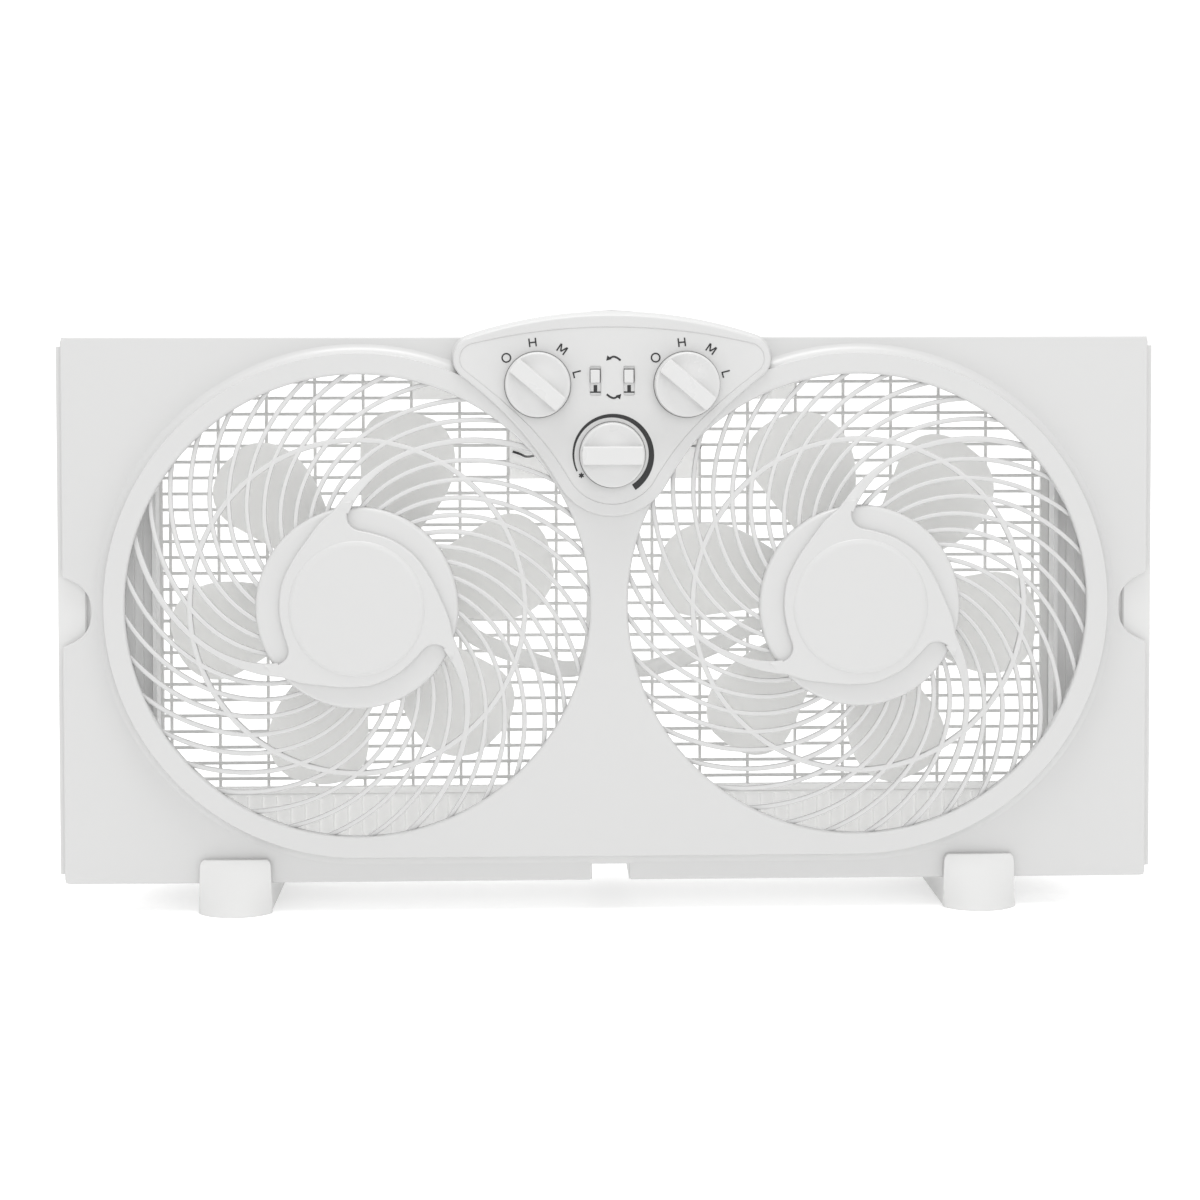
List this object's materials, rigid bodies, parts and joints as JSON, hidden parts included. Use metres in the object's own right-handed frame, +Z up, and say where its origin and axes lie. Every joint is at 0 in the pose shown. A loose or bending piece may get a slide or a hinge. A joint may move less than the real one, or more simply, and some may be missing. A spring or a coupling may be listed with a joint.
{
  "type": "twin window fan",
  "caption": "Twin window fan in one white body, with spiral front grilles, a console of knobs, telescoping side panels and push-on feet.",
  "frame": {"origin": "middle of the bounding box in x and y, at the soles of the feet", "axes": "+X to the viewer's right, +Y from the front grilles to the back, +Z up"},
  "size_m": [0.603, 0.1298, 0.3306],
  "materials": {
    "body_white": "satin moulded, faint grain",
    "grille_white": "satin moulded",
    "console_white": "satin moulded",
    "knob_white": "satin moulded",
    "leaf_white": "satin extruded",
    "grey_white": "plain moulded",
    "blade_grey": "smooth moulded",
    "dark_plastic": "plain moulded",
    "wire_sheath": "woven sleeve",
    "motor_steel": "pressed and plated",
    "laminations": "stacked sheet",
    "shaft_steel": "ground"
  },
  "bodies": {
    "frame": {"front_shell": "body_white", "rear_shell": "body_white", "left_foot": "body_white", "right_foot": "body_white", "left_front_grille": "grille_white", "right_front_grille": "grille_white", "console_insert": "console_white", "rear_grille": "grey_white", "switch_box": "grey_white", "left_speed_switch": "dark_plastic", "right_speed_switch": "dark_plastic", "thermostat_body": "dark_plastic", "left_direction_switch": "dark_plastic", "right_direction_switch": "dark_plastic", "left_capacitor": "dark_plastic", "right_capacitor": "dark_plastic", "cord_gland": "dark_plastic", "terminal_block": "dark_plastic", "left_motor_lead": "wire_sheath", "right_motor_lead": "wire_sheath", "left_motor_front_bell": "motor_steel", "right_motor_front_bell": "motor_steel", "left_motor_rear_bell": "motor_steel", "right_motor_rear_bell": "motor_steel", "left_stator": "laminations", "right_stator": "laminations", "left_front_bearing": "shaft_steel", "right_front_bearing": "shaft_steel", "left_rear_bearing": "shaft_steel", "right_rear_bearing": "shaft_steel"},
    "left_rotor": {"left_fan_rotor": "blade_grey", "left_motor_shaft": "shaft_steel", "left_spinner_nut": "dark_plastic", "left_rotor_core": "laminations"},
    "left_speed_control": {"left_speed_knob": "knob_white", "left_speed_spindle": "shaft_steel"},
    "left_direction_control": {"left_direction_button": "knob_white"},
    "left_panel_1": {"left_leaf_1": "leaf_white"},
    "left_panel_2": {"left_leaf_2": "leaf_white"},
    "left_panel_3": {"left_leaf_3": "leaf_white"},
    "left_panel_4": {"left_leaf_4": "leaf_white"},
    "right_rotor": {"right_fan_rotor": "blade_grey", "right_motor_shaft": "shaft_steel", "right_spinner_nut": "dark_plastic", "right_rotor_core": "laminations"},
    "right_speed_control": {"right_speed_knob": "knob_white", "right_speed_spindle": "shaft_steel"},
    "right_direction_control": {"right_direction_button": "knob_white"},
    "right_panel_1": {"right_leaf_1": "leaf_white"},
    "right_panel_2": {"right_leaf_2": "leaf_white"},
    "right_panel_3": {"right_leaf_3": "leaf_white"},
    "right_panel_4": {"right_leaf_4": "leaf_white"},
    "thermostat_control": {"thermostat_knob": "knob_white", "thermostat_spindle": "shaft_steel"}
  },
  "joints": [
    {"name": "left_fan_spin", "type": "hinge", "parent": "frame", "child": "left_rotor", "pos_m": [-0.137, -0.00105, 0.169], "axis": [0, 1, 0], "continuous": true},
    {"name": "left_speed_turn", "type": "hinge", "parent": "frame", "child": "left_speed_control", "pos_m": [-0.03865, -0.05005, 0.29], "axis": [0, 1, 0], "range_deg": [0, 126]},
    {"name": "left_direction_slide", "type": "slide", "parent": "frame", "child": "left_direction_control", "axis": [0, 0, -1], "range_m": [0, 0.0065]},
    {"name": "left_panel_1_slide", "type": "slide", "parent": "frame", "child": "left_panel_1", "axis": [-1, 0, 0], "range_m": [0, 0.136]},
    {"name": "left_panel_2_slide", "type": "slide", "parent": "frame", "child": "left_panel_2", "axis": [-1, 0, 0], "range_m": [0, 0.1088]},
    {"name": "left_panel_3_slide", "type": "slide", "parent": "frame", "child": "left_panel_3", "axis": [-1, 0, 0], "range_m": [0, 0.0762]},
    {"name": "left_panel_4_slide", "type": "slide", "parent": "frame", "child": "left_panel_4", "axis": [-1, 0, 0], "range_m": [0, 0.0408]},
    {"name": "right_fan_spin", "type": "hinge", "parent": "frame", "child": "right_rotor", "pos_m": [0.137, -0.00105, 0.169], "axis": [0, 1, 0], "continuous": true},
    {"name": "right_speed_turn", "type": "hinge", "parent": "frame", "child": "right_speed_control", "pos_m": [0.04265, -0.05005, 0.29], "axis": [0, 1, 0], "range_deg": [0, 126]},
    {"name": "right_direction_slide", "type": "slide", "parent": "frame", "child": "right_direction_control", "axis": [0, 0, -1], "range_m": [0, 0.0065]},
    {"name": "right_panel_1_slide", "type": "slide", "parent": "frame", "child": "right_panel_1", "axis": [1, 0, 0], "range_m": [0, 0.136]},
    {"name": "right_panel_2_slide", "type": "slide", "parent": "frame", "child": "right_panel_2", "axis": [1, 0, 0], "range_m": [0, 0.1088]},
    {"name": "right_panel_3_slide", "type": "slide", "parent": "frame", "child": "right_panel_3", "axis": [1, 0, 0], "range_m": [0, 0.0762]},
    {"name": "right_panel_4_slide", "type": "slide", "parent": "frame", "child": "right_panel_4", "axis": [1, 0, 0], "range_m": [0, 0.0408]},
    {"name": "thermostat_turn", "type": "hinge", "parent": "frame", "child": "thermostat_control", "pos_m": [0.002, -0.05005, 0.2517], "axis": [0, 1, 0], "range_deg": [-34, 237]}
  ],
  "couplings": [
    {"joint": "left_panel_2_slide", "follows": "left_panel_1_slide", "ratio": 0.8},
    {"joint": "left_panel_3_slide", "follows": "left_panel_1_slide", "ratio": 0.56},
    {"joint": "left_panel_4_slide", "follows": "left_panel_1_slide", "ratio": 0.3},
    {"joint": "right_panel_2_slide", "follows": "right_panel_1_slide", "ratio": 0.8},
    {"joint": "right_panel_3_slide", "follows": "right_panel_1_slide", "ratio": 0.56},
    {"joint": "right_panel_4_slide", "follows": "right_panel_1_slide", "ratio": 0.3}
  ]
}
